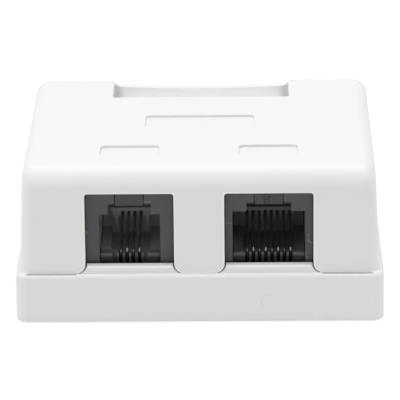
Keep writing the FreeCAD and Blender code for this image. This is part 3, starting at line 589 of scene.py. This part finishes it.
def base_finish():
    """White base with a hairline on its face, painted light on the pad tops, painted shade round
    the pads and a painted shade line at the seam.
    """
    tray = moulded_plastic("white_abs_base", WHITE_ABS, WHITE_ROUGHNESS,
                           edge_mm=WHITE_EDGE_ROUNDING)
    hairline = [(start, end, HAIRLINE_WIDTH)
                for start, end in zip(HAIRLINE_BENDS, HAIRLINE_BENDS[1:])]
    tint_where(tray, strokes_mask(hairline), RUBBED_WHITE, BASE_FACE)
    tint_where(tray, pad_top_mask, PAINTED_LIGHT_WHITE, JACK_FACE)
    tint_where(tray, pad_edge_mask, SHADED_CHARCOAL, JACK_FACE)
    tint_where(tray, seam_mask, SEAM_GREY, JACK_FACE)
    return tray


def jack_finishes(jack):
    """Charcoal of one jack: its housing, and the carrier with the nose bar and tongue."""
    half, inside, scuffs = JACKS[jack]
    housing = moulded_plastic("charcoal_housing_" + jack, CHARCOAL, HOUSING_ROUGHNESS,
                              mottling=CHARCOAL_MOTTLING)
    insert = moulded_plastic("charcoal_insert_" + jack, CHARCOAL_INSERT, INSERT_ROUGHNESS,
                             mottling=CHARCOAL_MOTTLING, edge_mm=INSERT_EDGE_ROUNDING)
    tint_where(insert, nose_top_mask, NOSE_PAINTED_HIGHLIGHT, NOSE_TOP_BACK)
    tint_where(insert, nose_lip_mask, NOSE_SHADED, NOSE_LIP_BACK)
    tint_where(insert, tongue_mask, TONGUE_CHARCOAL, TONGUE_BACK)
    for plastic in (housing, insert):
        tint_where(plastic, socket_mask(half), inside, SOCKET_BACK)
        tint_where(plastic, face_edge_mask, SHADED_CHARCOAL, JACK_FACE)
        tint_where(plastic, strokes_mask(scuffs, SCUFF_STRENGTH), SCUFFED_CHARCOAL, JACK_FACE)
    if jack == "eight":
        tint_where(insert, keyhole_mask, SHADED_CHARCOAL, KEYHOLE_BACK)
    return housing, insert


def dress_all():
    """Give every piece its finish, found by the piece's name without its number."""
    finishes = {
        "cover": cover_finish(),
        "base": base_finish(),
        "circuit_board": green_board("green_board"),
        "terminal_block": moulded_plastic("ivory_plastic", IVORY, BLOCK_ROUGHNESS),
        "stuffer_cap": moulded_plastic("cap_plastic", CAP_WHITE, CAP_ROUGHNESS),
        "contact_wire": plated_metal("gold_contact", GOLD_PLATE, SHADED_GOLD),
        "terminal_contact": plated_metal("tinned_bronze", TIN_PLATE),
    }
    for jack in JACKS:
        housing, insert = jack_finishes(jack)
        finishes[jack + "_position_jack_housing"] = housing
        finishes[jack + "_position_contact_carrier"] = insert
    for node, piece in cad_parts.items():
        whole = node.rstrip("_0123456789")
        kind = whole.split("_position_")[-1]
        piece.data.materials.clear()
        piece.data.materials.append(finishes[whole if whole in finishes else kind])


def show_in_view(nodes, links, usual, seen, output):
    """Light the box by one shader, and show the camera, reflections and clear parts another."""
    path = nodes.new("ShaderNodeLightPath")
    direct = carry(nodes, links, "MAXIMUM", [path.outputs["Is Camera Ray"],
                                             path.outputs["Is Glossy Ray"],
                                             path.outputs["Is Transmission Ray"]])
    mix = nodes.new("ShaderNodeMixShader")
    links.new(direct, mix.inputs["Fac"])
    links.new(usual, mix.inputs[1])
    links.new(seen, mix.inputs[2])
    links.new(mix.outputs["Shader"], output.inputs["Surface"])


def add_floor():
    """Pale floor that shows as plain white and keeps a faint shadow of the box."""
    bpy.ops.object.select_all(action="DESELECT")
    bpy.ops.mesh.primitive_plane_add(size=FLOOR_SIZE, location=(0, 0, CAD_BOX[0].z - FLOOR_DROP))
    floor = bpy.context.object
    floor.name = "floor"
    material, nodes, links = new_material("pale_floor")
    shader = nodes["Principled BSDF"]
    shader.inputs["Base Color"].default_value = grey(FLOOR_GREY)
    shader.inputs["Roughness"].default_value = FLOOR_ROUGHNESS
    glow = nodes.new("ShaderNodeEmission")
    glow.inputs["Strength"].default_value = FLOOR_GLOW
    matte = nodes.new("ShaderNodeBsdfDiffuse")
    matte.inputs["Color"].default_value = grey(FLOOR_MATTE)
    shown = nodes.new("ShaderNodeAddShader")
    links.new(glow.outputs["Emission"], shown.inputs[0])
    links.new(matte.outputs["BSDF"], shown.inputs[1])
    show_in_view(nodes, links, shader.outputs["BSDF"], shown.outputs["Shader"],
                 nodes["Material Output"])
    floor.data.materials.append(material)


def add_softbox(name, place, size, power):
    """One rectangular soft box turned towards the box."""
    lamp = bpy.data.lights.new(name, "AREA")
    lamp.shape = "RECTANGLE"
    lamp.size, lamp.size_y = size
    lamp.energy = power
    softbox = bpy.data.objects.new(name, lamp)
    bpy.context.scene.collection.objects.link(softbox)
    softbox.location = place
    towards = Vector(LAMP_AIM) - Vector(place)
    softbox.rotation_euler = towards.to_track_quat("-Z", "Y").to_euler()


def add_light():
    """Soft boxes above, in front and at both sides, in an even white studio."""
    for softbox in SOFTBOXES:
        add_softbox(*softbox)
    world = bpy.data.worlds.new("studio")
    world.use_nodes = True
    bpy.context.scene.world = world
    nodes, links = world.node_tree.nodes, world.node_tree.links
    fill = nodes["Background"]
    fill.inputs["Color"].default_value = grey(1)
    fill.inputs["Strength"].default_value = FILL
    backdrop = nodes.new("ShaderNodeBackground")
    backdrop.inputs["Color"].default_value = grey(1)
    show_in_view(nodes, links, fill.outputs["Background"], backdrop.outputs["Background"],
                 nodes["World Output"])


def add_camera():
    """Camera a little above the jacks, looking down at the front."""
    data = bpy.data.cameras.new("camera")
    camera = bpy.data.objects.new("camera", data)
    bpy.context.scene.collection.objects.link(camera)
    tilt = math.radians(VIEW_ELEVATION)
    yaw = math.radians(VIEW_YAW)
    forward = Vector((math.sin(yaw) * math.cos(tilt), math.cos(yaw) * math.cos(tilt),
                      -math.sin(tilt)))
    camera.location = (Vector(AIM) - forward * VIEW_DISTANCE) * MM
    turn = forward.to_track_quat("-Z", "Y").to_matrix()
    turn = turn @ Matrix.Rotation(math.radians(VIEW_ROLL), 3, "Z")
    camera.rotation_euler = turn.to_euler()
    data.sensor_width = VIEW_SENSOR
    data.lens = VIEW_LENS
    data.clip_start, data.clip_end = VIEW_NEAREST, VIEW_FARTHEST
    bpy.context.scene.camera = camera


dress_all()
add_floor()
add_light()
add_camera()
bpy.context.scene.view_settings.view_transform = "Standard"
